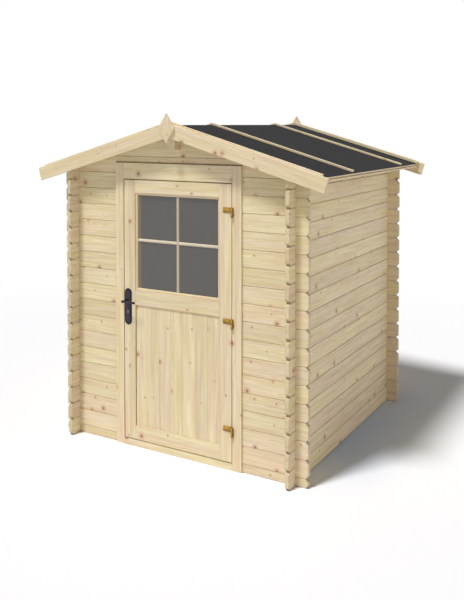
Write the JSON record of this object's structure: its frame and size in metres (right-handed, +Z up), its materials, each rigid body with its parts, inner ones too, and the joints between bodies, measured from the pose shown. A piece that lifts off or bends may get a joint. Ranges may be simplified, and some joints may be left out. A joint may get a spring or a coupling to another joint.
{
  "type": "garden shed",
  "caption": "Small gabled garden shed of notched pine logs, with a felted roof, barge boards with diamond finials and a half-glazed outward-opening door.",
  "frame": {"origin": "on the ground under the threshold, at the middle of the doorway and in the plane of the front wall's outer face", "axes": "+X to the right along the front wall, +Y from the front wall to the back wall, +Z up"},
  "size_m": [2.2488, 1.9846, 2.2829],
  "materials": {
    "log_pine": "planed, unpainted",
    "joinery_pine": "planed, unpainted",
    "board_pine": "planed, unpainted",
    "roofing_felt": "mineral faced, matt",
    "yellow_zinc": "yellow passivated",
    "black_iron": "satin black",
    "lock_steel": "satin",
    "pane": "clear"
  },
  "bodies": {
    "shed": {"front_wall_left": "log_pine", "front_wall_right": "log_pine", "front_gable": "log_pine", "back_wall": "log_pine", "back_gable": "log_pine", "left_wall": "log_pine", "right_wall": "log_pine", "ridge_purlin": "board_pine", "roof_boards_left": "board_pine", "roof_boards_right": "board_pine", "felt_front": "roofing_felt", "felt_middle": "roofing_felt", "felt_back": "roofing_felt", "eaves_laths_left": "joinery_pine", "eaves_laths_right": "joinery_pine", "roof_battens_left": "joinery_pine", "roof_battens_right": "joinery_pine", "barge_front_left": "joinery_pine", "barge_front_right": "joinery_pine", "barge_back_left": "joinery_pine", "barge_back_right": "joinery_pine", "finial_front": "joinery_pine", "finial_back": "joinery_pine", "door_jamb_left": "joinery_pine", "door_jamb_right": "joinery_pine", "door_head": "joinery_pine", "threshold": "joinery_pine", "hinge_pins": "yellow_zinc"},
    "door": {"lock_stile": "joinery_pine", "hinge_stile": "joinery_pine", "top_rail": "joinery_pine", "lock_rail": "joinery_pine", "bottom_rail": "joinery_pine", "door_panel": "board_pine", "door_glass": "pane", "glazing_beads": "joinery_pine", "glazing_bars": "joinery_pine", "hinge_arms": "yellow_zinc", "handle_plates": "black_iron", "lock_cylinder": "lock_steel"},
    "lever": {"lever_handles": "black_iron"}
  },
  "joints": [
    {"name": "door_hinge", "type": "hinge", "parent": "shed", "child": "door", "pos_m": [0.434, -0.021, 0], "axis": [0, 0, 1], "range_deg": [0, 110]},
    {"name": "lever_turn", "type": "hinge", "parent": "door", "child": "lever", "pos_m": [-0.394, 0.012, 1.006], "axis": [0, 1, 0], "range_deg": [0, 35], "stiffness_Nm_per_rad": 1}
  ]
}
